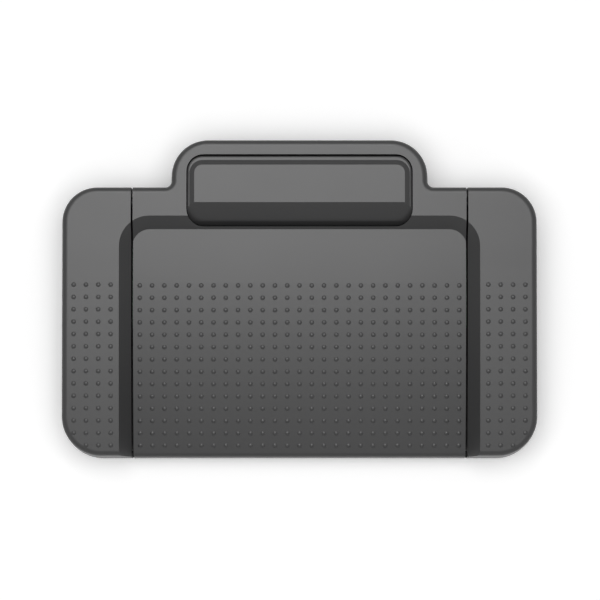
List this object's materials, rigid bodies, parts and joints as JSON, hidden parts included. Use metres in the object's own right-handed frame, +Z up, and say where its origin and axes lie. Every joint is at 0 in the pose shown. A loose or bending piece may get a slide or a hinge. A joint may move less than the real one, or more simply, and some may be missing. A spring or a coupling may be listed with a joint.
{
  "type": "usb foot pedal switch",
  "caption": "Low, wide foot switch for a desk: hinged pedal shells with grip dots side by side, a sunken middle face and a small raised cap at the rear.",
  "frame": {"origin": "on the floor under the middle of the overall length and depth, at the feet's underside", "axes": "+X to the user's right, +Y to the rear hump with the cap, +Z up; the pedals' free edges face -Y"},
  "size_m": [0.2116, 0.141, 0.0348],
  "materials": {
    "shell_plastic": "fine satin texture",
    "cap_plastic": "fine satin texture",
    "tray_plastic": "moulded, fine grain",
    "clamp_plastic": "moulded",
    "rod_steel": "ground",
    "spring_steel": "drawn wire",
    "screw_steel": "zinc plated",
    "ballast_steel": "rolled plate",
    "foot_rubber": "matt",
    "pad_rubber": "matt",
    "board_laminate": "solder mask",
    "chip_plastic": "moulded",
    "can_metal": "satin",
    "header_plastic": "moulded",
    "magnet_nickel": "nickel plated"
  },
  "bodies": {
    "base": {"base_tray": "tray_plastic", "rod_clamp_left_inner": "clamp_plastic", "rod_clamp_left_outer": "clamp_plastic", "rod_clamp_right_inner": "clamp_plastic", "rod_clamp_right_outer": "clamp_plastic", "hinge_rod_left": "rod_steel", "hinge_rod_right": "rod_steel", "cap_hinge_rod": "rod_steel", "spring_left": "spring_steel", "spring_right": "spring_steel", "spring_centre_left": "spring_steel", "spring_centre_right": "spring_steel", "spring_cap_left": "spring_steel", "spring_cap_right": "spring_steel", "clamp_screws": "screw_steel", "board_screws": "screw_steel", "ballast_screws": "screw_steel", "ballast_plate": "ballast_steel", "foot_front_left": "foot_rubber", "foot_front_right": "foot_rubber", "foot_rear_left": "foot_rubber", "foot_rear_right": "foot_rubber", "foot_hump": "foot_rubber", "pad_left": "pad_rubber", "pad_right": "pad_rubber", "pad_centre_left": "pad_rubber", "pad_centre_right": "pad_rubber", "pad_cap_left": "pad_rubber", "pad_cap_right": "pad_rubber", "cable_gland": "pad_rubber", "circuit_board": "board_laminate", "controller_chip": "chip_plastic", "sensor_left": "chip_plastic", "sensor_centre": "chip_plastic", "sensor_right": "chip_plastic", "sensor_cap": "chip_plastic", "clock_crystal": "can_metal", "capacitor": "can_metal", "cable_header": "header_plastic"},
    "left_pedal": {"left_pedal_shell": "shell_plastic", "magnet_left": "magnet_nickel"},
    "centre_pedal": {"centre_pedal_shell": "shell_plastic", "magnet_centre": "magnet_nickel"},
    "right_pedal": {"right_pedal_shell": "shell_plastic", "magnet_right": "magnet_nickel"},
    "rear_cap": {"rear_cap_shell": "cap_plastic", "magnet_cap": "magnet_nickel"}
  },
  "joints": [
    {"name": "left_pedal_press", "type": "hinge", "parent": "base", "child": "left_pedal", "pos_m": [0, 0.0425, 0.0225], "axis": [1, 0, 0], "range_deg": [0, 2.2], "stiffness_Nm_per_rad": 6, "springref_deg": -2.86, "deforming": ["spring_left"]},
    {"name": "centre_pedal_press", "type": "hinge", "parent": "base", "child": "centre_pedal", "pos_m": [0, 0.0425, 0.0225], "axis": [1, 0, 0], "range_deg": [0, 2.2], "stiffness_Nm_per_rad": 12, "springref_deg": -2.86, "deforming": ["spring_centre_left", "spring_centre_right"]},
    {"name": "right_pedal_press", "type": "hinge", "parent": "base", "child": "right_pedal", "pos_m": [0, 0.0425, 0.0225], "axis": [1, 0, 0], "range_deg": [0, 2.2], "stiffness_Nm_per_rad": 6, "springref_deg": -2.86, "deforming": ["spring_right"]},
    {"name": "rear_cap_press", "type": "hinge", "parent": "base", "child": "rear_cap", "pos_m": [0, 0.0562, 0.027], "axis": [1, 0, 0], "range_deg": [0, 5], "stiffness_Nm_per_rad": 0.6, "springref_deg": -3.44, "deforming": ["spring_cap_left", "spring_cap_right"]}
  ]
}
